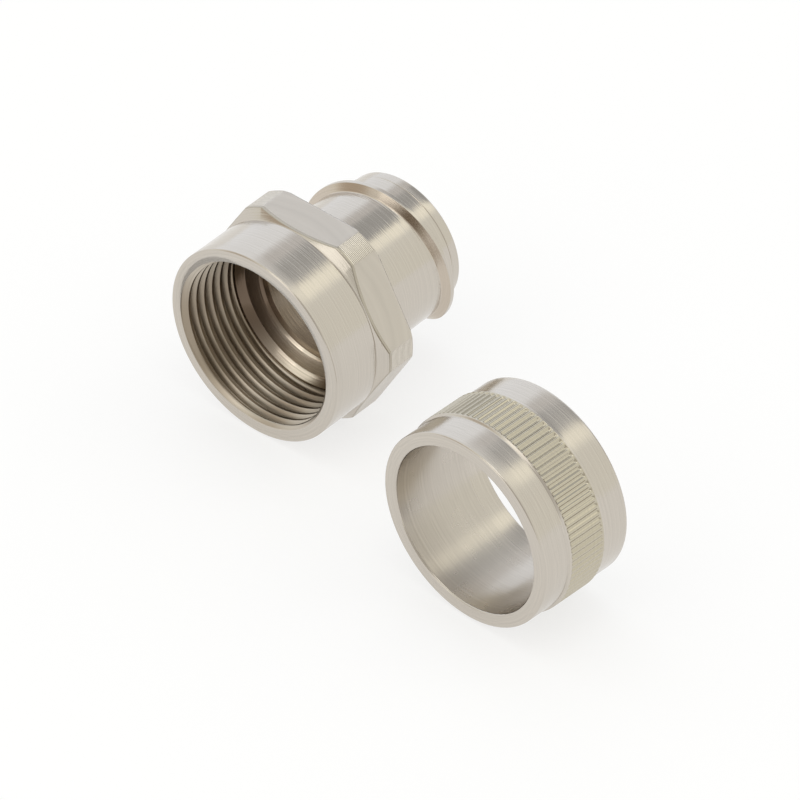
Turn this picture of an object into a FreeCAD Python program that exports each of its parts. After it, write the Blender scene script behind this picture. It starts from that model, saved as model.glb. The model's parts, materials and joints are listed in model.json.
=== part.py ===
"""Female-threaded metal conduit gland with its loose clamping sleeve.

Row frame: the origin is the centre of the threaded mouth, +X points out of the mouth along the
gland's axis, +Z is up and the gland lies on a hexagon flat. Each sub-part is drawn in its own
frame, with X running from its front face back along its axis, and its Placement lays it down.
"""

import FreeCAD, Part
import Sketcher
import math
import os
import re

SIZES = {
    # gland: length stations behind the mouth
    "collar_length": 7.9,
    "hex_length": 5.4,
    "seat_station": 20.2,
    "barrel_station": 24.3,
    "nose_station": 27.4,
    "gland_length": 28.9,
    # gland: outside
    "collar_radius": 13.95,
    "rim_chamfer": 0.2,
    "undercut_width": 0.22,
    "undercut_depth": 0.12,
    "hex_across_flats": 28.0,
    "hex_corner_radius": 15.35,
    "hex_chamfer_angle": 30.0,
    "hex_back_chamfer": 0.35,
    "neck_root_radius": 10.3,
    "neck_radius": 10.15,
    "seat_radius": 10.1,
    "barrel_radius": 9.6,
    "nose_radius": 9.5,
    "nose_chamfer": 0.1,
    # gland: inside
    "mouth_radius": 12.2,
    "mouth_chamfer": 0.45,
    "thread_crest_radius": 11.69,
    "thread_root_radius": 12.5,
    "thread_pitch": 1.5,
    "thread_grooves": 6.0,
    "first_groove_station": 1.2,
    "thread_wall_end": 9.5,
    "thread_overlap": 0.1,
    "shoulder_radius": 10.85,
    "shoulder_station": 10.5,
    "bore_edge_radius": 8.95,
    "bore_edge_station": 11.1,
    "bore_radius": 8.6,
    "bore_chamfer": 0.35,
    # gland: helical ridge that screws into the conduit
    "ridge_radius": 11.15,
    "ridge_lead": 7.0,
    "ridge_turns": 0.8,
    "ridge_start_angle": -30.0,
    "ridge_crest_station": 21.2,
    "ridge_front_width": 0.65,
    "ridge_land": 0.6,
    "ridge_back_width": 0.35,
    "ridge_embed": 0.45,
    # clamping sleeve
    "sleeve_length": 15.0,
    "sleeve_radius": 13.8,
    "sleeve_bore_radius": 11.8,
    "sleeve_edge_chamfer": 0.25,
    "sleeve_bore_chamfer": 0.2,
    "knurl_station": 4.5,
    "knurl_length": 6.0,
    "knurl_rim": 0.15,
    "knurl_radius": 14.1,
    "knurl_depth": 0.3,
    "knurl_teeth": 88.0,
    "knurl_groove_half_width": 0.4,
    "knurl_overlap": 1.0,
    # where the sleeve lies beside the gland
    "sleeve_place_x": 9.8,
    "sleeve_place_y": 43.64,
    "sleeve_yaw": 3.0,
}

# Each outline is a closed polygon of (station along the axis, radius) sheet expressions.
GLAND_OUTLINE = [
    ("0", "mouth_radius"),
    ("0", "collar_radius - rim_chamfer"),
    ("rim_chamfer", "collar_radius"),
    ("collar_length - undercut_width", "collar_radius"),
    ("collar_length - undercut_width / 2", "collar_radius - undercut_depth"),
    ("collar_length", "collar_radius"),
    ("collar_length + (hex_corner_radius - collar_radius) * tan(hex_chamfer_angle * 1 deg)",
     "hex_corner_radius"),
    ("collar_length + hex_length - hex_back_chamfer * tan(hex_chamfer_angle * 1 deg)",
     "hex_corner_radius"),
    ("collar_length + hex_length", "hex_corner_radius - hex_back_chamfer"),
    ("collar_length + hex_length", "neck_root_radius"),
    ("seat_station", "neck_radius"),
    ("seat_station", "seat_radius"),
    ("barrel_station", "seat_radius"),
    ("barrel_station", "barrel_radius"),
    ("nose_station", "barrel_radius"),
    ("gland_length - nose_chamfer", "nose_radius"),
    ("gland_length", "nose_radius - nose_chamfer"),
    ("gland_length", "bore_radius + bore_chamfer"),
    ("gland_length - bore_chamfer", "bore_radius"),
    ("bore_edge_station + bore_chamfer", "bore_radius"),
    ("bore_edge_station", "bore_edge_radius"),
    ("shoulder_station", "shoulder_radius"),
    ("thread_wall_end", "thread_crest_radius"),
    ("mouth_chamfer", "thread_crest_radius"),
]

SLEEVE_OUTLINE = [
    ("0", "sleeve_bore_radius + sleeve_bore_chamfer"),
    ("0", "sleeve_radius - sleeve_edge_chamfer"),
    ("sleeve_edge_chamfer", "sleeve_radius"),
    ("knurl_station", "sleeve_radius"),
    ("knurl_station", "knurl_radius"),
    ("knurl_station + knurl_length", "knurl_radius"),
    ("knurl_station + knurl_length", "sleeve_radius"),
    ("sleeve_length - sleeve_edge_chamfer", "sleeve_radius"),
    ("sleeve_length", "sleeve_radius - sleeve_edge_chamfer"),
    ("sleeve_length", "sleeve_bore_radius + sleeve_bore_chamfer"),
    ("sleeve_length - sleeve_bore_chamfer", "sleeve_bore_radius"),
    ("sleeve_bore_chamfer", "sleeve_bore_radius"),
]

# One groove of the 60 degree thread: a flat root an eighth of the pitch wide, open at the crest.
THREAD_GROOVE = [
    ("first_groove_station - thread_pitch / 16", "thread_root_radius"),
    ("first_groove_station + thread_pitch / 16", "thread_root_radius"),
    ("first_groove_station + thread_pitch / 16"
     " + (thread_root_radius - thread_crest_radius + thread_overlap) * tan(30 deg)",
     "thread_crest_radius - thread_overlap"),
    ("first_groove_station - thread_pitch / 16"
     " - (thread_root_radius - thread_crest_radius + thread_overlap) * tan(30 deg)",
     "thread_crest_radius - thread_overlap"),
]

# The ridge's section: a sloping front flank, a narrow crest and a steep back flank.
RIDGE_SECTION = [
    ("ridge_crest_station - ridge_front_width", "barrel_radius - ridge_embed"),
    ("ridge_crest_station - ridge_front_width", "seat_radius"),
    ("ridge_crest_station", "ridge_radius"),
    ("ridge_crest_station + ridge_land", "ridge_radius"),
    ("ridge_crest_station + ridge_land + ridge_back_width", "barrel_radius"),
    ("ridge_crest_station + ridge_land + ridge_back_width", "barrel_radius - ridge_embed"),
]


def make_sheet(doc):
    """Put every driving size in a spreadsheet cell with its name as the alias."""
    sheet = doc.addObject("Spreadsheet::Sheet", "sizes")
    for row, (name, value) in enumerate(SIZES.items(), start=1):
        sheet.set(f"A{row}", name)
        sheet.set(f"B{row}", str(value))
        sheet.setAlias(f"B{row}", name)
    return sheet


def bind(expression):
    """Turn an expression in size names into one that reads the sheet's cells."""
    return re.sub(
        r"[a-z_]+",
        lambda word: f"sizes.{word.group()}" if word.group() in SIZES else word.group(),
        expression,
    )


def new_body(doc, name):
    body = doc.addObject("PartDesign::Body", name)
    body.Label = name
    return body


def origin_item(body, role):
    """One of the body's own origin planes or axes."""
    return next(item for item in body.Origin.OriginFeatures if item.Role == role)


def new_sketch(body, name, role):
    """Start a sketch on one of the body's own origin planes."""
    sketch = body.newObject("Sketcher::SketchObject", name)
    sketch.AttachmentSupport = [(origin_item(body, role), "")]
    sketch.MapMode = "FlatFace"
    return sketch


def draw_polygon(sketch, corners):
    """Draw a closed polygon whose corners are (horizontal, vertical) expressions in size names.

    The lines start out on a plain ring; the bound constraints then put each corner in its place.
    """
    count = len(corners)
    ring = [
        FreeCAD.Vector(math.cos(turn), -math.sin(turn), 0)
        for turn in (2 * math.pi * k / count for k in range(count))
    ]
    lines = [
        sketch.addGeometry(Part.LineSegment(ring[k], ring[(k + 1) % count]), False)
        for k in range(count)
    ]
    for k in range(count):
        following = lines[(k + 1) % count]
        sketch.addConstraint(Sketcher.Constraint("Coincident", lines[k], 2, following, 1))
    for line, start, (horizontal, vertical) in zip(lines, ring, corners):
        bind_corner(sketch, line, "DistanceX", horizontal, start.x)
        bind_corner(sketch, line, "DistanceY", vertical, start.y)


def bind_corner(sketch, line, kind, expression, guess):
    """Hold the start of a line at a bound distance from the sketch's origin."""
    index = sketch.addConstraint(Sketcher.Constraint(kind, -1, 1, line, 1, guess))
    sketch.setExpression(f"Constraints[{index}]", bind(expression))


def bind_property(item, name, expression):
    item.setExpression(name, bind(expression))


def revolve(body, name, sketch, kind="PartDesign::Revolution"):
    """Turn a sketch once around the body's own X axis, adding or cutting material."""
    feature = body.newObject(kind, name)
    feature.Profile = sketch
    feature.ReferenceAxis = (origin_item(body, "X_Axis"), [""])
    feature.Angle = 360.0
    return feature


def make_gland(doc):
    """Threaded collar, hexagon and grooved stub, turned and milled from one bar."""
    body = new_body(doc, "gland_body")

    outline = new_sketch(body, "gland_outline", "XY_Plane")
    draw_polygon(outline, GLAND_OUTLINE)
    revolve(body, "gland_turning", outline)

    groove_sketch = new_sketch(body, "thread_groove_outline", "XY_Plane")
    draw_polygon(groove_sketch, THREAD_GROOVE)
    groove = revolve(body, "thread_groove", groove_sketch, "PartDesign::Groove")
    doc.recompute()

    thread = body.newObject("PartDesign::LinearPattern", "thread_grooves")
    thread.Originals = [groove]
    thread.Direction = (origin_item(body, "X_Axis"), [""])
    thread.Mode = "Spacing"
    bind_property(thread, "Offset", "thread_pitch")
    bind_property(thread, "Occurrences", "thread_grooves")
    body.Tip = thread
    doc.recompute()

    flats_sketch = new_sketch(body, "hexagon_outline", "YZ_Plane")
    draw_hexagon_ring(flats_sketch)
    flats = body.newObject("PartDesign::Pocket", "hexagon_flats")
    flats.Profile = flats_sketch
    flats.Reversed = True
    bind_property(flats, "Length", "gland_length")
    doc.recompute()

    section = new_sketch(body, "ridge_section", "XY_Plane")
    draw_polygon(section, RIDGE_SECTION)
    about_axis = FreeCAD.Rotation(FreeCAD.Vector(1, 0, 0), SIZES["ridge_start_angle"])
    section.AttachmentOffset = FreeCAD.Placement(FreeCAD.Vector(), about_axis)
    bind_property(section, "AttachmentOffset.Rotation.Angle", "ridge_start_angle * 1 deg")
    ridge = body.newObject("PartDesign::AdditiveHelix", "conduit_ridge")
    ridge.Profile = section
    ridge.ReferenceAxis = (origin_item(body, "X_Axis"), [""])
    ridge.Mode = "pitch-turns-angle"
    bind_property(ridge, "Pitch", "ridge_lead")
    bind_property(ridge, "Turns", "ridge_turns")
    doc.recompute()
    return body


def draw_hexagon_ring(sketch):
    """A hexagon with flats straight up and down inside a circle that clears its corners."""
    corner = "hex_across_flats / 2 / cos(30 deg)"
    corners = [
        (f"{corner} * cos({60 * k} deg)", f"{corner} * sin({60 * k} deg)") for k in range(6)
    ]
    draw_polygon(sketch, corners)
    rim = sketch.addGeometry(
        Part.Circle(FreeCAD.Vector(0, 0, 0), FreeCAD.Vector(0, 0, 1), SIZES["hex_across_flats"]), False
    )
    sketch.addConstraint(Sketcher.Constraint("Coincident", rim, 3, -1, 1))
    index = sketch.addConstraint(Sketcher.Constraint("Radius", rim, SIZES["hex_across_flats"]))
    sketch.setExpression(f"Constraints[{index}]", bind("hex_across_flats"))


def make_sleeve(doc):
    """Plain ring that slides over the conduit, with a straight knurl around its middle."""
    body = new_body(doc, "clamping_sleeve")

    outline = new_sketch(body, "sleeve_outline", "XY_Plane")
    draw_polygon(outline, SLEEVE_OUTLINE)
    revolve(body, "sleeve_turning", outline)
    doc.recompute()

    notch = new_sketch(body, "knurl_groove_outline", "YZ_Plane")
    draw_polygon(notch, [
        ("knurl_radius - knurl_depth", "0"),
        ("knurl_radius", "knurl_groove_half_width"),
        ("knurl_radius + knurl_overlap", "knurl_groove_half_width"),
        ("knurl_radius + knurl_overlap", "-knurl_groove_half_width"),
        ("knurl_radius", "-knurl_groove_half_width"),
    ])
    bind_property(notch, "AttachmentOffset.Base.z", "knurl_station + knurl_rim")
    groove = body.newObject("PartDesign::Pocket", "knurl_groove")
    groove.Profile = notch
    groove.Reversed = True
    bind_property(groove, "Length", "knurl_length - 2 * knurl_rim")
    doc.recompute()

    knurl = body.newObject("PartDesign::PolarPattern", "knurl")
    knurl.Originals = [groove]
    knurl.Axis = (origin_item(body, "X_Axis"), [""])
    knurl.Angle = 360.0
    bind_property(knurl, "Occurrences", "knurl_teeth")
    body.Tip = knurl
    doc.recompute()
    return body


def lay_down(gland, sleeve):
    """Turn both pieces to face out of the mouth, the sleeve beside the gland on its knurl."""
    up = FreeCAD.Vector(0, 0, 1)
    gland.Placement = FreeCAD.Placement(FreeCAD.Vector(), FreeCAD.Rotation(up, 180))
    height = SIZES["knurl_radius"] - SIZES["hex_across_flats"] / 2
    place = FreeCAD.Vector(SIZES["sleeve_place_x"], SIZES["sleeve_place_y"], height)
    sleeve.Placement = FreeCAD.Placement(place, FreeCAD.Rotation(up, 180 - SIZES["sleeve_yaw"]))


def check(doc, bodies):
    """Stop unless every feature computed and every sub-part is one valid solid."""
    for item in doc.Objects:
        if "Invalid" in item.State or "Error" in item.State:
            raise RuntimeError(f"{item.Label} did not compute: {item.State}")
    for body in bodies:
        shape = body.Shape
        if shape.isNull() or not shape.isValid() or len(shape.Solids) != 1:
            raise RuntimeError(f"{body.Label} is not one valid solid")
        print(f"{body.Label}: {shape.Volume:.1f} cubic mm, {len(shape.Faces)} faces, {shape.BoundBox}")


def main():
    doc = FreeCAD.newDocument("conduit_gland")
    make_sheet(doc)
    doc.recompute()
    gland = make_gland(doc)
    sleeve = make_sleeve(doc)
    lay_down(gland, sleeve)
    doc.recompute()
    check(doc, [gland, sleeve])
    os.makedirs("parts", exist_ok=True)
    for body in (gland, sleeve):
        body.Shape.exportStep(f"parts/{body.Label}.step")


main()
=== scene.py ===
"""Nickel-plated conduit gland and its loose knurled clamping sleeve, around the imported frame."""

import json
import math

import bmesh
import bpy
from mathutils import Matrix, Vector


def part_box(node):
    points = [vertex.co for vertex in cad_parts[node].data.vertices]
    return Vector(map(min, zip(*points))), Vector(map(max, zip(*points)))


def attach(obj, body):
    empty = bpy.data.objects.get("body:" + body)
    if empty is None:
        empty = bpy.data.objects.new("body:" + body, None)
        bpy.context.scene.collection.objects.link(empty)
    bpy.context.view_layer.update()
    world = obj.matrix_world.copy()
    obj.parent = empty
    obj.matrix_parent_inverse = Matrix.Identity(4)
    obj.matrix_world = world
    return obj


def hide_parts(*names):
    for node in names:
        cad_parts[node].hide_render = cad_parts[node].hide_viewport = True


MM = 0.001
TURN = 2 * math.pi

# Gland, in millimetres: stations behind the mouth and radii. The main sizes are the CAD model's.
# The chamfers, the groove before the hexagon and the knurl differ from it by a few hundredths,
# and the neck runs into the ridge's seat a little sooner and without a step.
COLLAR_END, HEX_END, SEAT_LINE, NOSE_LINE, GLAND_END = 7.9, 13.3, 19.6, 27.4, 28.9
COLLAR_R, HEX_FLAT_R, HEX_CORNER_R, HEX_BACK_R = 13.95, 14.0, 15.35, 15.0
NECK_ROOT_R, NECK_R, SEAT_R, BARREL_R, NOSE_R = 10.3, 10.15, 10.1, 9.6, 9.5
HEX_SLOPE = math.tan(math.radians(30))
MOUTH_R, MOUTH_CHAMFER, THREAD_START = 12.2, 0.48, 0.6
CREST_R, ROOT_R, PITCH = 11.69, 12.5, 1.5
THREAD_END, THREAD_FADE, WALL_END = 9.2, 0.6, 9.5
THREAD_PHASE = 0.12
SHOULDER_X, SHOULDER_R, BORE_EDGE_X, BORE_EDGE_R, BORE_R = 10.5, 10.85, 11.1, 8.95, 8.6
RIDGE_R, RIDGE_LEAD, RIDGE_START_X = 11.15, 7.0, 21.2
RIDGE_START, RIDGE_SWEEP = math.radians(-30), math.radians(288)
RIDGE_START_TAPER, RIDGE_END_TAPER = math.radians(35), math.radians(45)
# plain stretch of the collar's outside, and where the through bore's own wall stops
RIM_WALL, CONE_WALL = 0.6, 7.6
BORE_WALL_START, BORE_WALL_END = 12.4, 12.2

# Sleeve.
SLEEVE_LENGTH, SLEEVE_R, SLEEVE_BORE_R = 15.0, 13.8, 11.8
KNURL_START, KNURL_END, KNURL_R, KNURL_TEETH = 4.5, 10.5, 14.1, 88
KNURL_RIM, KNURL_DEPTH = 0.1, 0.26
# plain stretches of its outside, before and behind the knurled band
FRONT_WALL, FRONT_WALL_END, BACK_WALL_END = 1.0, 4.2, 14.0


# ---------------------------------------------------------------- outlines

def rounded(corners, segments=3):
    """Points of an outline whose corners (x, r, radius) are turned into short arcs."""
    points = []
    for index, (x, r, radius) in enumerate(corners):
        here = Vector((x, r))
        if index in (0, len(corners) - 1) or radius <= 0:
            points.append(here)
            continue
        before = Vector(corners[index - 1][:2]) - here
        after = Vector(corners[index + 1][:2]) - here
        opening = before.angle(after, math.pi)
        reach = radius / math.tan(opening / 2)
        reach = min(reach, before.length * 0.45, after.length * 0.45)
        start, end = here + before.normalized() * reach, here + after.normalized() * reach
        for step in range(segments + 1):
            t = step / segments
            points.append((1 - t) ** 2 * start + 2 * t * (1 - t) * here + t * t * end)
    return points


def between(start, end, count):
    """count points strictly between two outline points, given as pairs."""
    return [Vector(start).lerp(Vector(end), (k + 1) / (count + 1)) for k in range(count)]


def flatten(parts, names):
    """(points, zone numbers) of an outline that is given in stretches of (zone name, points)."""
    points = [point for _, stretch in parts for point in stretch]
    return points, [names.index(name) for name, stretch in parts for _ in stretch]


def smooth_min(a, b, blend):
    h = max(blend - abs(a - b), 0) / blend
    return min(a, b) - h * h * blend / 4


def smooth_step(t):
    t = min(max(t, 0.0), 1.0)
    return t * t * (3 - 2 * t)


# ---------------------------------------------------------------- meshes

def build_rings(name, angles, columns, zones, shift_from=None, shift=0):
    """A closed tube of outline columns, one per angle around the local X axis.

    columns[j] is the outline at angles[j] and zones gives the material of each strip along it.
    Where the outline carries a helix, its points from shift_from on slide one pitch per turn, so
    the last column joins the first one shift points earlier.
    """
    mesh = bpy.data.meshes.new(name)
    rows = len(columns[0])
    verts = [
        (x * MM, r * MM * math.cos(angle), r * MM * math.sin(angle))
        for angle, column in zip(angles, columns) for x, r in column
    ]
    faces, materials = [], []
    last = len(columns) - 1
    for j in range(len(columns)):
        following = 0 if j == last else j + 1
        for i in range(rows):
            here, ahead = i, (i + 1) % rows
            near, far = here, ahead
            if j == last and shift_from is not None:
                if shift_from <= here:
                    near = max(here - shift, shift_from)
                if shift_from <= ahead:
                    far = max(ahead - shift, shift_from)
            quad = (j * rows + here, following * rows + near,
                    following * rows + far, j * rows + ahead)
            if len(set(quad)) == 4:
                faces.append(quad)
                materials.append(zones[i])
    mesh.from_pydata(verts, [], faces)
    mesh.polygons.foreach_set("material_index", materials)
    return mesh


def finish_mesh(mesh):
    """Weld what the helix's clamped rows left on top of each other and face everything outward."""
    work = bmesh.new()
    work.from_mesh(mesh)
    bmesh.ops.remove_doubles(work, verts=work.verts, dist=1e-7)
    bmesh.ops.recalc_face_normals(work, faces=work.faces)
    work.to_mesh(mesh)
    work.free()
    mesh.polygons.foreach_set("use_smooth", [True] * len(mesh.polygons))


def local_frame(origin, forward):
    """Frame whose X runs along forward from origin, with Z kept up."""
    x_axis = Vector(forward).normalized()
    y_axis = Vector((0, 0, 1)).cross(x_axis)
    rotation = Matrix((x_axis, y_axis, (0, 0, 1))).transposed().to_4x4()
    return Matrix.Translation(origin) @ rotation


def place(name, mesh, materials, placement):
    """An object in the row frame from a mesh built in its own local frame."""
    for material in materials:
        mesh.materials.append(material)
    mesh.transform(placement)
    piece = bpy.data.objects.new(name, mesh)
    bpy.context.scene.collection.objects.link(piece)
    weighted = piece.modifiers.new("weighted_normals", "WEIGHTED_NORMAL")
    weighted.keep_sharp = False
    weighted.weight = 80
    return piece


# ---------------------------------------------------------------- gland

def thread_profile():
    """Rounded points of one pitch of the 60 degree internal thread, from crest to crest."""
    half_root = PITCH / 16
    half_mouth = half_root + (ROOT_R - CREST_R) * math.tan(math.radians(30))
    corners = [
        (-PITCH / 2, CREST_R, 0), (-half_mouth, CREST_R, 0.09), (-half_root, ROOT_R, 0.12),
        (half_root, ROOT_R, 0.12), (half_mouth, CREST_R, 0.09), (PITCH / 2, CREST_R, 0),
    ]
    return rounded(corners)[:-1]


THREAD = thread_profile()


def thread_radius(x, angle):
    """Radius of the threaded wall at a station and an angle, by following the pitch outline."""
    along = (x - THREAD_PHASE - PITCH * angle / TURN + PITCH / 2) % PITCH - PITCH / 2
    points = THREAD + [Vector((PITCH / 2, CREST_R))]
    for a, b in zip(points, points[1:]):
        if a.x <= along <= b.x:
            t = (along - a.x) / max(b.x - a.x, 1e-9)
            return a.y + (b.y - a.y) * t
    return CREST_R


def wall_radius(x, angle):
    """Threaded wall with the entry chamfer at the mouth and the run-out at the inner end."""
    fade = smooth_step((THREAD_END - x) / THREAD_FADE)
    r = CREST_R + (thread_radius(x, angle) - CREST_R) * fade
    chamfer = MOUTH_R - (MOUTH_R - CREST_R) * x / MOUTH_CHAMFER
    return max(r, chamfer)


def thread_rows(angle):
    """The threaded wall from its inner end out to the entry chamfer, sliding one pitch per turn."""
    slide = THREAD_PHASE + PITCH * angle / TURN
    turns = int(THREAD_END / PITCH) + 2
    rows = []
    for turn in range(turns, -3, -1):
        for point in reversed(THREAD):
            x = min(max(slide + turn * PITCH + point.x, THREAD_START), THREAD_END)
            rows.append(Vector((x, wall_radius(x, angle))))
    return rows


HEX_BLEND = 0.05
HEX_GROOVES, HEX_GROOVE_DEPTH = 17, 0.06
# each stretch of one groove's pitch: its zone, its start and its depth, as shares of the whole
HEX_GROOVE_SHAPE = (
    ("hex", 0.1, 0.0), ("hex", 0.4, 0.0), ("groove", 0.52, 0.15), ("groove", 0.72, 1.0),
    ("hex", 0.92, 0.15))


def hex_radius(angle):
    """Distance to the hexagon's flat, with flats facing straight up and down."""
    sixth = TURN / 6
    off = (angle - math.radians(30)) % sixth
    off = min(off, sixth - off)
    return HEX_FLAT_R / math.cos(off)


def ridge_crest(angle):
    """(station of the crest's front edge, share of full height) of the ridge at an angle."""
    along = (angle - RIDGE_START) % TURN
    if along <= RIDGE_SWEEP:
        height = min(smooth_step(along / RIDGE_START_TAPER),
                     smooth_step((RIDGE_SWEEP - along) / RIDGE_END_TAPER))
        return RIDGE_START_X + RIDGE_LEAD * along / TURN, height
    back = (along - RIDGE_SWEEP) / (TURN - RIDGE_SWEEP)
    return RIDGE_START_X + RIDGE_LEAD * RIDGE_SWEEP / TURN * (1 - smooth_step(back)), 0.0


# the ridge's outline round its crest's front edge, and where its flank and its crest start in it
RIDGE_SECTION = rounded([
    (-1.3, SEAT_R, 0), (-0.62, SEAT_R, 0.25), (0, RIDGE_R, 0.05), (0.6, RIDGE_R, 0.05),
    (0.85, BARREL_R, 0.1), (1.2, BARREL_R, 0)], 4)
FLANK_INDEX = sum(point.x < -0.75 for point in RIDGE_SECTION)
CREST_INDEX = sum(point.x < -0.02 for point in RIDGE_SECTION)


def ridge_rows(angle):
    """Hollow front flank, narrow crest and steep back flank of the conduit ridge."""
    crest, height = ridge_crest(angle)
    rows = []
    for point in RIDGE_SECTION:
        x = min(crest + point.x, NOSE_LINE - 0.02)
        base = SEAT_R + (BARREL_R - SEAT_R) * smooth_step((point.x + 1.3) / 2.5)
        rows.append(Vector((x, base + (point.y - base) * height)))
    return rows


# rows of the groove zone get the darker plating, painted shade in the hexagon's grooves
ZONES = [
    "turned", "face", "hex", "groove", "edge", "flat", "neck", "ridge", "bore", "recess", "thread"]
# stations of the fixed rows between the mouth's edge and the thread's sliding rows
ENTRY_STATIONS = (0.56, 0.48, 0.36, 0.24, 0.12)


def gland_column(angle):
    """(points, zone of each, count before the thread's rows) of the gland's outline at one angle.

    It runs from the mouth over the outside to the stub's end and back through the bore.
    """
    flat = hex_radius(angle)
    top = smooth_min(HEX_CORNER_R, flat, HEX_BLEND)
    parts = []

    parts.append(("thread", [Vector((x, wall_radius(x, angle))) for x in ENTRY_STATIONS]))
    mouth = wall_radius(0.0, angle)
    parts.append(("face", rounded([
        (0, mouth, 0), (0, COLLAR_R - 0.17, 0.06), (0.15, COLLAR_R, 0.08),
        (RIM_WALL, COLLAR_R, 0)], 3)[:-1]))
    parts.append(("turned", between((RIM_WALL, COLLAR_R), (CONE_WALL, COLLAR_R), 8)))
    cone_x = COLLAR_END + (top - COLLAR_R) * HEX_SLOPE
    back_x = HEX_END - max(top - HEX_BACK_R, 0) * HEX_SLOPE
    cone = rounded([
        (CONE_WALL, COLLAR_R, 0), (COLLAR_END - 0.24, COLLAR_R, 0.04),
        (COLLAR_END - 0.12, COLLAR_R - 0.14, 0.04), (COLLAR_END, COLLAR_R, 0.02),
        (cone_x, top, 0.24), (cone_x + 0.4, top, 0)], 2)[:-1]
    parts += [("turned", cone[:-3]), ("edge", cone[-3:])]
    parts += hex_rows(flat, cone_x + 0.4, back_x - 0.1)
    parts.append(("turned", rounded([
        (back_x - 0.1, top, 0), (back_x, top, 0.05), (HEX_END, min(top, HEX_BACK_R), 0.05),
        (HEX_END, NECK_ROOT_R, 0.3), (HEX_END + 1, NECK_ROOT_R, 0)], 3)[:-1]))
    parts.append(("neck", between((HEX_END + 1, NECK_ROOT_R), (SEAT_LINE, NECK_R), 6)))
    ridge = ridge_rows(angle)
    parts += [("neck", ridge[:FLANK_INDEX]), ("ridge", ridge[FLANK_INDEX:CREST_INDEX]),
              ("turned", ridge[CREST_INDEX:])]
    parts.append(("turned", rounded([
        (NOSE_LINE - 0.01, BARREL_R, 0), (NOSE_LINE, BARREL_R, 0.01),
        (NOSE_LINE + 0.07, NOSE_R - 0.06, 0.02), (NOSE_LINE + 0.15, NOSE_R + 0.03, 0.03),
        (GLAND_END - 0.1, NOSE_R, 0.08), (GLAND_END, NOSE_R - 0.08, 0.06),
        (GLAND_END, BORE_R + 0.35, 0.06), (GLAND_END - 0.35, BORE_R, 0.1),
        (GLAND_END - 1, BORE_R, 0)], 3)[:-1]))
    parts.append(("bore", between((GLAND_END - 1, BORE_R), (BORE_WALL_START, BORE_R), 6)))
    parts.append(("recess", rounded([
        (BORE_WALL_END, BORE_R, 0), (BORE_EDGE_X + 0.35, BORE_R, 0.08),
        (BORE_EDGE_X, BORE_EDGE_R, 0.06), (SHOULDER_X, SHOULDER_R, 0.1),
        (WALL_END, CREST_R, 0.12), (THREAD_END, CREST_R, 0)], 3)[:-1]))
    outline, zones = flatten(parts, ZONES)
    if flat <= HEX_CORNER_R:
        zones = [ZONES.index("flat") if ZONES[z] in ("hex", "groove") else z for z in zones]
    rows = thread_rows(angle)
    return outline + rows, zones + [ZONES.index("thread")] * len(rows), len(outline)


def hex_rows(flat, start, end):
    """Across the hexagon: turned grooves on the corner strips, plain on the milled flats."""
    pitch = (end - start) / HEX_GROOVES
    rows = [("hex", [Vector((start, smooth_min(HEX_CORNER_R, flat, HEX_BLEND)))])]
    for groove in range(HEX_GROOVES):
        for zone, along, depth in HEX_GROOVE_SHAPE:
            x = start + (groove + along) * pitch
            corner = HEX_CORNER_R - HEX_GROOVE_DEPTH * depth
            rows.append((zone, [Vector((x, smooth_min(corner, flat, HEX_BLEND)))]))
    return rows


GLAND_COLUMNS = 432


def gland_angles():
    """Even columns round the axis, with more of them where the flats meet the corner strips."""
    edge = math.acos(HEX_FLAT_R / HEX_CORNER_R)
    extra = [
        math.radians(30 + 60 * k) + side * (edge + math.radians(off))
        for k in range(6) for side in (-1, 1) for off in (-0.5, -0.2, 0.0, 0.2, 0.5)
    ]
    even = [TURN * k / GLAND_COLUMNS for k in range(GLAND_COLUMNS)]
    wanted = sorted({round(a % TURN, 6) for a in even + extra})
    return [a for k, a in enumerate(wanted) if k == 0 or a - wanted[k - 1] > 1e-4]


def make_gland(materials, placement):
    angles = gland_angles()
    columns = [gland_column(angle) for angle in angles]
    outline_length = columns[0][2]
    zone_rows = [column[1] for column in columns]
    mesh = build_rings("gland", angles, [column[0] for column in columns], zone_rows[0],
                       outline_length, len(THREAD))
    rows = len(columns[0][0])
    flat_index = ZONES.index("flat")
    for polygon in mesh.polygons:
        if ZONES[polygon.material_index] in ("hex", "groove"):
            column, row = divmod(polygon.vertices[0], rows)
            other = (column + 1) % len(columns)
            if zone_rows[column][row] == flat_index and zone_rows[other][row] == flat_index:
                polygon.material_index = flat_index
    finish_mesh(mesh)
    return place("gland", mesh, materials, placement)


# ---------------------------------------------------------------- sleeve

def knurl_radius(angle, x):
    """Knurled band: round-topped teeth between grooves that close in a ramp at both rims."""
    tooth = TURN / KNURL_TEETH
    off = abs((angle % tooth) / tooth - 0.5) * 2
    groove = smooth_step((off - 0.15) / 0.65)
    inside = min(x - KNURL_START, KNURL_END - x)
    depth = min(max(inside - KNURL_RIM, 0), KNURL_DEPTH)
    return KNURL_R - depth * groove


SLEEVE_ZONES = ["turned", "face", "knurl", "bore"]
COLUMNS_PER_TOOTH = 8
# rows of the knurled band, behind its start: close together where the grooves ramp in and out
KNURL_ROWS = (0.16, 0.25, 0.36, 0.5, 1.5, 3.0, 4.5, 5.5, 5.64, 5.7, 5.76, 5.82, 5.88)


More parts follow.
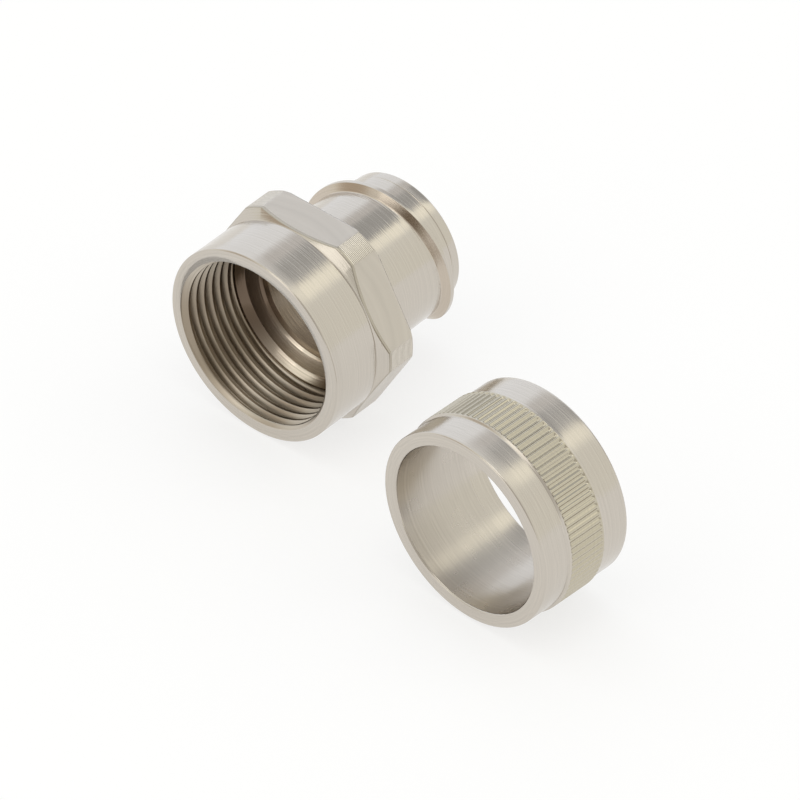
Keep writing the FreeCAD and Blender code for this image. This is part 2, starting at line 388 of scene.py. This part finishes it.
def sleeve_column(angle):
    """(points, zone of each) of the sleeve's outline at one angle, from its front rim round."""
    parts = []
    parts.append(("face", rounded([
        (0.2, SLEEVE_BORE_R, 0), (0, SLEEVE_BORE_R + 0.15, 0.1), (0, SLEEVE_R, 0.3),
        (FRONT_WALL, SLEEVE_R, 0)], 4)[:-1]))
    parts.append(("turned", between((FRONT_WALL, SLEEVE_R), (FRONT_WALL_END, SLEEVE_R), 3)))
    parts.append(("turned", rounded([
        (FRONT_WALL_END, SLEEVE_R, 0), (KNURL_START - 0.15, SLEEVE_R, 0.02),
        (KNURL_START + KNURL_RIM, KNURL_R, 0.04),
        (KNURL_START + 0.18, KNURL_R, 0)], 3)[:-1]))
    stations = [KNURL_START + row for row in KNURL_ROWS]
    parts.append(("knurl", [Vector((x, knurl_radius(angle, x))) for x in stations]))
    parts.append(("turned", rounded([
        (KNURL_END - KNURL_RIM, KNURL_R, 0), (KNURL_END, KNURL_R, 0.08),
        (KNURL_END, SLEEVE_R, 0.05), (KNURL_END + 0.3, SLEEVE_R, 0)], 3)[1:-1]))
    parts.append(("turned", between((KNURL_END + 0.3, SLEEVE_R), (BACK_WALL_END, SLEEVE_R), 3)))
    parts.append(("face", rounded([
        (BACK_WALL_END, SLEEVE_R, 0), (SLEEVE_LENGTH, SLEEVE_R, 0.3),
        (SLEEVE_LENGTH, SLEEVE_BORE_R + 0.15, 0.1), (SLEEVE_LENGTH - 0.2, SLEEVE_BORE_R, 0.1),
        (SLEEVE_LENGTH - 1, SLEEVE_BORE_R, 0)], 4)[:-1]))
    parts.append(("bore", between((SLEEVE_LENGTH - 1, SLEEVE_BORE_R), (0.3, SLEEVE_BORE_R), 6)))
    parts.append(("bore", [Vector((0.35, SLEEVE_BORE_R)), Vector((0.25, SLEEVE_BORE_R))]))
    return flatten(parts, SLEEVE_ZONES)


def make_sleeve(materials, placement):
    count = KNURL_TEETH * COLUMNS_PER_TOOTH
    angles = [TURN * k / count for k in range(count)]
    columns = [sleeve_column(angle) for angle in angles]
    mesh = build_rings("sleeve", angles, [c[0] for c in columns], columns[0][1])
    finish_mesh(mesh)
    return place("sleeve", mesh, materials, placement)


# ---------------------------------------------------------------- materials

PLATING = (0.57, 0.525, 0.465)
# a darker copy of the plating: painted shade in the threaded hollow
THREAD_SHADE = (0.53, 0.475, 0.40)
# a still darker copy of the plating: painted shade deep in the bore
BORE_SHADE = (0.40, 0.345, 0.28)
# the painted dark reflection starts to show where the cosine to its full place reaches this
DARK_REFLECTION_EDGE = 0.5


def nickel(name, placement, roughness=0.24, streaks=4000.0, depth=8e-6, colour=PLATING,
           anisotropy=0.55, lean=1.0, contrast=0.04, painted_dark_reflection=None):
    """Plated nickel with marks that run round the piece's own axis, as a lathe leaves them.

    streaks is about how many marks there are in a metre, and depth how deep they look. lean adds
    the radius to the station that they follow, so they show on faces too. The last argument is a
    painted dark reflection: its colour and the place round the axis, in degrees from local Y to Z,
    where it is full.
    """
    material = bpy.data.materials.new(name)
    material.use_nodes = True
    nodes, links = material.node_tree.nodes, material.node_tree.links
    shader = nodes["Principled BSDF"]
    shader.inputs["Metallic"].default_value = 1.0
    shader.inputs["Anisotropic"].default_value = anisotropy
    shader.inputs["Anisotropic Rotation"].default_value = 0.25
    tangent = nodes.new("ShaderNodeTangent")
    tangent.direction_type, tangent.axis = "RADIAL", "X"
    links.new(tangent.outputs[0], shader.inputs["Tangent"])

    # the piece's own coordinates, and its station plus a share of its radius
    coordinates = nodes.new("ShaderNodeTexCoord")
    local = nodes.new("ShaderNodeMapping")
    local.vector_type = "TEXTURE"
    local.inputs["Location"].default_value = placement.to_translation()
    local.inputs["Rotation"].default_value = placement.to_euler()
    links.new(coordinates.outputs["Object"], local.inputs["Vector"])
    parts = nodes.new("ShaderNodeSeparateXYZ")
    links.new(local.outputs[0], parts.inputs[0])
    across = nodes.new("ShaderNodeCombineXYZ")
    links.new(parts.outputs["Y"], across.inputs["Y"])
    links.new(parts.outputs["Z"], across.inputs["Z"])
    radius = nodes.new("ShaderNodeVectorMath")
    radius.operation = "LENGTH"
    links.new(across.outputs[0], radius.inputs[0])
    station = nodes.new("ShaderNodeMath")
    station.operation = "MULTIPLY_ADD"
    station.inputs[1].default_value = lean
    links.new(radius.outputs["Value"], station.inputs[0])
    links.new(parts.outputs["X"], station.inputs[2])

    # two sets of turning marks, taking turns in patches
    layers = []
    for stretch, offset in ((1.0, 0.0), (0.83, 37.0)):
        scaled = nodes.new("ShaderNodeMath")
        scaled.operation = "MULTIPLY_ADD"
        scaled.inputs[1].default_value = streaks * stretch
        scaled.inputs[2].default_value = offset
        links.new(station.outputs[0], scaled.inputs[0])
        layer = nodes.new("ShaderNodeTexNoise")
        layer.noise_dimensions = "1D"
        layer.inputs["Scale"].default_value = 1.0
        layer.inputs["Detail"].default_value = 1.0
        layer.inputs["Roughness"].default_value = 0.6
        links.new(scaled.outputs[0], layer.inputs["W"])
        layers.append(layer)
    stretched = nodes.new("ShaderNodeVectorMath")
    stretched.operation = "MULTIPLY"
    stretched.inputs[1].default_value = (900.0, 260.0, 260.0)
    links.new(local.outputs[0], stretched.inputs[0])
    patches = nodes.new("ShaderNodeTexNoise")
    patches.inputs["Scale"].default_value = 1.0
    patches.inputs["Detail"].default_value = 1.0
    links.new(stretched.outputs[0], patches.inputs["Vector"])
    spread = nodes.new("ShaderNodeMapRange")
    spread.interpolation_type = "SMOOTHSTEP"
    spread.inputs["From Min"].default_value = 0.4
    spread.inputs["From Max"].default_value = 0.6
    links.new(patches.outputs["Fac"], spread.inputs["Value"])
    marks = nodes.new("ShaderNodeMix")
    links.new(spread.outputs[0], marks.inputs["Factor"])
    links.new(layers[0].outputs["Fac"], marks.inputs["A"])
    links.new(layers[1].outputs["Fac"], marks.inputs["B"])

    # soft uneven roughness
    cloud = nodes.new("ShaderNodeTexNoise")
    cloud.inputs["Scale"].default_value = 260.0
    cloud.inputs["Detail"].default_value = 4.0
    links.new(local.outputs[0], cloud.inputs["Vector"])

    bump = nodes.new("ShaderNodeBump")
    bump.inputs["Strength"].default_value = 1.0
    bump.inputs["Distance"].default_value = depth
    links.new(marks.outputs["Result"], bump.inputs["Height"])
    links.new(bump.outputs["Normal"], shader.inputs["Normal"])

    tone = nodes.new("ShaderNodeMapRange")
    tone.inputs["To Min"].default_value = roughness - 0.05
    tone.inputs["To Max"].default_value = roughness + 0.06
    links.new(cloud.outputs["Fac"], tone.inputs["Value"])
    links.new(tone.outputs[0], shader.inputs["Roughness"])

    shade = nodes.new("ShaderNodeValToRGB")
    dark, light = shade.color_ramp.elements
    dark.position, light.position = 0.3, 0.7
    dark.color = (*(c * (1 - contrast) for c in colour), 1)
    light.color = (*(min(c * (1 + contrast), 1) for c in colour), 1)
    links.new(marks.outputs["Result"], shade.inputs["Fac"])
    links.new(shade.outputs["Color"], shader.inputs["Base Color"])
    # a dark patch mixed into the base colour round the axis: a painted dark reflection
    if painted_dark_reflection is not None:
        dark_reflection_colour, place_round = painted_dark_reflection
        around = nodes.new("ShaderNodeVectorMath")
        around.operation = "NORMALIZE"
        links.new(across.outputs[0], around.inputs[0])
        toward = nodes.new("ShaderNodeVectorMath")
        toward.operation = "DOT_PRODUCT"
        turn = math.radians(place_round)
        toward.inputs[1].default_value = (0, math.cos(turn), math.sin(turn))
        links.new(around.outputs[0], toward.inputs[0])
        share = nodes.new("ShaderNodeMapRange")
        share.interpolation_type = "SMOOTHSTEP"
        share.inputs["From Min"].default_value = DARK_REFLECTION_EDGE
        share.inputs["From Max"].default_value = 1.0
        links.new(toward.outputs["Value"], share.inputs["Value"])
        darkened = nodes.new("ShaderNodeMix")
        darkened.data_type = "RGBA"
        darkened.inputs["B"].default_value = (*dark_reflection_colour, 1)
        links.new(share.outputs[0], darkened.inputs["Factor"])
        links.new(shade.outputs["Color"], darkened.inputs["A"])
        links.new(darkened.outputs["Result"], shader.inputs["Base Color"])
    return material


# ---------------------------------------------------------------- studio

FLOOR_SIDE, FLOOR_GREY, FLOOR_GLOW = 4.0, 0.32, 0.69


def make_floor(height):
    """A plain pale floor under the object, which glows to be as white as the photograph's."""
    corners = [(-1, -1), (1, -1), (1, 1), (-1, 1)]
    mesh = bpy.data.meshes.new("floor")
    mesh.from_pydata([(x * FLOOR_SIDE, y * FLOOR_SIDE, height) for x, y in corners],
                     [], [(0, 1, 2, 3)])
    floor = bpy.data.objects.new("floor", mesh)
    bpy.context.scene.collection.objects.link(floor)
    material = bpy.data.materials.new("floor")
    material.use_nodes = True
    shader = material.node_tree.nodes["Principled BSDF"]
    shader.inputs["Base Color"].default_value = (FLOOR_GREY, FLOOR_GREY, FLOOR_GREY, 1)
    shader.inputs["Roughness"].default_value = 0.9
    shader.inputs["Specular IOR Level"].default_value = 0.0
    shader.inputs["Emission Color"].default_value = (1, 1, 1, 1)
    shader.inputs["Emission Strength"].default_value = FLOOR_GLOW
    mesh.materials.append(material)


def direction(azimuth, elevation):
    """Unit vector from the object towards a place that camera azimuth and elevation would give."""
    a, e = math.radians(azimuth), math.radians(elevation)
    return Vector((math.sin(a) * math.cos(e), -math.cos(a) * math.cos(e), math.sin(e)))


def make_light(name, azimuth, elevation, distance, width, height, brightness, colour):
    """A softbox facing the object; brightness is what a mirror would show of it."""
    data = bpy.data.lights.new(name, "AREA")
    data.shape, data.size, data.size_y = "RECTANGLE", width, height
    data.energy, data.color = brightness * math.pi * width * height, colour
    lamp = bpy.data.objects.new(name, data)
    bpy.context.scene.collection.objects.link(lamp)
    toward = direction(azimuth, elevation)
    lamp.location = toward * distance
    lamp.rotation_mode = "QUATERNION"
    lamp.rotation_quaternion = toward.to_track_quat("Z", "Y")
    lamp.visible_camera = False


SIDE_WHITE = (0.97, 0.965, 0.905)
# azimuth and elevation of a patch of the tent, the angles where it is full and gone, its colour
WORLD_PATCHES = (
    (311, 10, 20, 85, (1.12, 1.17, 1.26)),
    (131, 35, 10, 50, (0.60, 0.58, 0.54)),
    (241, 49, 3, 14, (1.35, 1.33, 1.2)),
    (299, 45, 3, 15, (0.75, 0.75, 0.76)),
    (274, 46, 11, 18, (0.50, 0.51, 0.52)),
    (46, 16, 6, 20, (0.60, 0.52, 0.43)),
    (258, 4, 10, 24, (0.27, 0.21, 0.15)),
)


def make_world():
    """A warm white tent, with the lighter and darker patches that the metal reflects.

    It is cool and bright behind the object and greyer round the camera, and the small patches
    are gaps and panels at its sides and overhead. A later patch lies over an earlier one.
    """
    world = bpy.data.worlds.new("studio")
    bpy.context.scene.world = world
    world.use_nodes = True
    nodes, links = world.node_tree.nodes, world.node_tree.links
    back = nodes["Background"]
    coordinates = nodes.new("ShaderNodeTexCoord")
    shade = None
    for azimuth, elevation, near, far, colour in WORLD_PATCHES:
        toward = nodes.new("ShaderNodeVectorMath")
        toward.operation = "DOT_PRODUCT"
        toward.inputs[1].default_value = direction(azimuth, elevation)
        links.new(coordinates.outputs["Generated"], toward.inputs[0])
        share = nodes.new("ShaderNodeMapRange")
        share.interpolation_type = "SMOOTHSTEP"
        share.inputs["From Min"].default_value = math.cos(math.radians(far))
        share.inputs["From Max"].default_value = math.cos(math.radians(near))
        links.new(toward.outputs["Value"], share.inputs["Value"])
        mix = nodes.new("ShaderNodeMix")
        mix.data_type = "RGBA"
        mix.inputs["A"].default_value = (*SIDE_WHITE, 1)
        mix.inputs["B"].default_value = (*colour, 1)
        links.new(share.outputs[0], mix.inputs["Factor"])
        if shade is not None:
            links.new(shade.outputs["Result"], mix.inputs["A"])
        shade = mix
    links.new(shade.outputs["Result"], back.inputs["Color"])


CAMERA_AZIMUTH, CAMERA_ELEVATION, CAMERA_DISTANCE = 131.0, 40.0, 1.5
CAMERA_AIM = Vector((-8.85, 16.87, -5.24)) * MM
IMAGE_WIDTH, PIXELS_PER_MM = 800, 7.895
FRAME_WIDTH = IMAGE_WIDTH / PIXELS_PER_MM * MM
SENSOR_WIDTH = 36.0


def make_camera():
    """The camera at the photograph's angle, far enough off for its flat perspective."""
    data = bpy.data.cameras.new("camera")
    data.sensor_width = SENSOR_WIDTH
    data.lens = data.sensor_width * CAMERA_DISTANCE / FRAME_WIDTH
    data.clip_start, data.clip_end = 0.05, 20.0
    camera = bpy.data.objects.new("camera", data)
    bpy.context.scene.collection.objects.link(camera)
    back = direction(CAMERA_AZIMUTH, CAMERA_ELEVATION)
    camera.location = CAMERA_AIM + back * CAMERA_DISTANCE
    camera.rotation_mode = "QUATERNION"
    camera.rotation_quaternion = back.to_track_quat("Z", "Y")
    bpy.context.scene.camera = camera


# ---------------------------------------------------------------- scene

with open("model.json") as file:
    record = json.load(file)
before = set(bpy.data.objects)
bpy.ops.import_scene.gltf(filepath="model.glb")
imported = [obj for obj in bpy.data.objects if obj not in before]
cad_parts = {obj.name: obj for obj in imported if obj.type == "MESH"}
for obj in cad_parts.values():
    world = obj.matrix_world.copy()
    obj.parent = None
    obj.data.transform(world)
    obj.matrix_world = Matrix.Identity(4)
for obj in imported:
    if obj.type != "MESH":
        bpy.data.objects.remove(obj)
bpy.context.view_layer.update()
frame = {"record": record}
mounts = {mount["name"]: mount for mount in frame["record"]["mounts"]}

mouth = mounts["female_thread"]
gland_frame = local_frame(mouth["pos_m"], -Vector(mouth["axis"]))
ring = mounts["sleeve_bore"]
sleeve_forward = -Vector(ring["axis"])
sleeve_front = Vector(ring["pos_m"]) - sleeve_forward * SLEEVE_LENGTH / 2 * MM
sleeve_frame = local_frame(sleeve_front, sleeve_forward)

turned = nickel("turned_nickel", gland_frame, roughness=0.14, streaks=5600, depth=1.4e-5,
                anisotropy=0.4)
face = nickel("faced_nickel", gland_frame, roughness=0.22, depth=5e-6)
# lighter plating on the hexagon's corner strips: a painted highlight
strip = nickel("hexagon_corner_highlight_nickel", gland_frame, roughness=0.14, depth=2e-6, anisotropy=0.0,
               colour=(0.76, 0.71, 0.63))
milled = nickel("milled_flat_nickel", gland_frame, roughness=0.34, streaks=900, depth=1e-6,
                anisotropy=0.0)
# thread: darker plating as painted shade, with a dark patch round the axis as a painted dark
# reflection
threaded = nickel("thread_shade_nickel", gland_frame, roughness=0.3, depth=4e-6, colour=THREAD_SHADE, lean=-1.0,
                  contrast=0.12, painted_dark_reflection=((0.33, 0.275, 0.21), -25))
# recess: plating lightened as a painted golden highlight, with a dark patch round the axis as a
# painted dark reflection
recess = nickel("recess_highlight_and_dark_reflection_nickel", gland_frame, roughness=0.17, depth=8e-6,
                colour=(0.74, 0.655, 0.545), lean=-1.0, contrast=0.12,
                painted_dark_reflection=((0.15, 0.11, 0.08), -22))
# bore: darker plating as painted shade deep inside
bore = nickel("bore_nickel", gland_frame, roughness=0.22, depth=8e-6, colour=BORE_SHADE, lean=-1.0,
              contrast=0.15)
# darker plating in the hexagon's grooves: painted shade
groove = nickel("hexagon_groove_shade_nickel", gland_frame, roughness=0.3, depth=1e-6, anisotropy=0.0,
                colour=(0.40, 0.36, 0.30))
edge = nickel("hexagon_edge_nickel", gland_frame, roughness=0.25, depth=1e-6, anisotropy=0.0,
              colour=(0.45, 0.41, 0.345))
# browner plating on the ridge's front flank: a painted brownish reflection
flank = nickel("ridge_flank_reflection_nickel", gland_frame, roughness=0.18, depth=6e-6,
               colour=(0.57, 0.50, 0.42))
# one material for each of ZONES, in the same order
gland = make_gland(
    [turned, face, strip, groove, edge, milled, turned, flank, bore, recess, threaded], gland_frame)
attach(gland, "gland")
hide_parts("gland_body")

sleeve_turned = nickel("sleeve_turned_nickel", sleeve_frame, roughness=0.19, depth=1.4e-5,
                       anisotropy=0.5)
sleeve_face = nickel("sleeve_faced_nickel", sleeve_frame, roughness=0.22, depth=5e-6)
knurl = nickel("knurl_nickel", sleeve_frame, roughness=0.21, depth=1e-6, anisotropy=0.0,
               colour=(0.53, 0.485, 0.39))
brushed = nickel("brushed_bore_nickel", sleeve_frame, roughness=0.28, streaks=3200, depth=1e-5,
                 anisotropy=0.4)
# one material for each of SLEEVE_ZONES, in the same order
sleeve = make_sleeve([sleeve_turned, sleeve_face, knurl, brushed], sleeve_frame)
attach(sleeve, "sleeve")
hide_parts("clamping_sleeve")

make_floor(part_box("gland_body")[0][2])
make_world()
make_camera()
make_light("overhead_softbox", CAMERA_AZIMUTH + 30, 80, 1.2, 0.5, 0.5, 1.1, (1, 1, 1))
make_light("front_softbox", 86, 28, 1.0, 0.45, 0.72, 0.62, (1.0, 0.97, 0.94))

bpy.context.scene.view_settings.view_transform = "Standard"
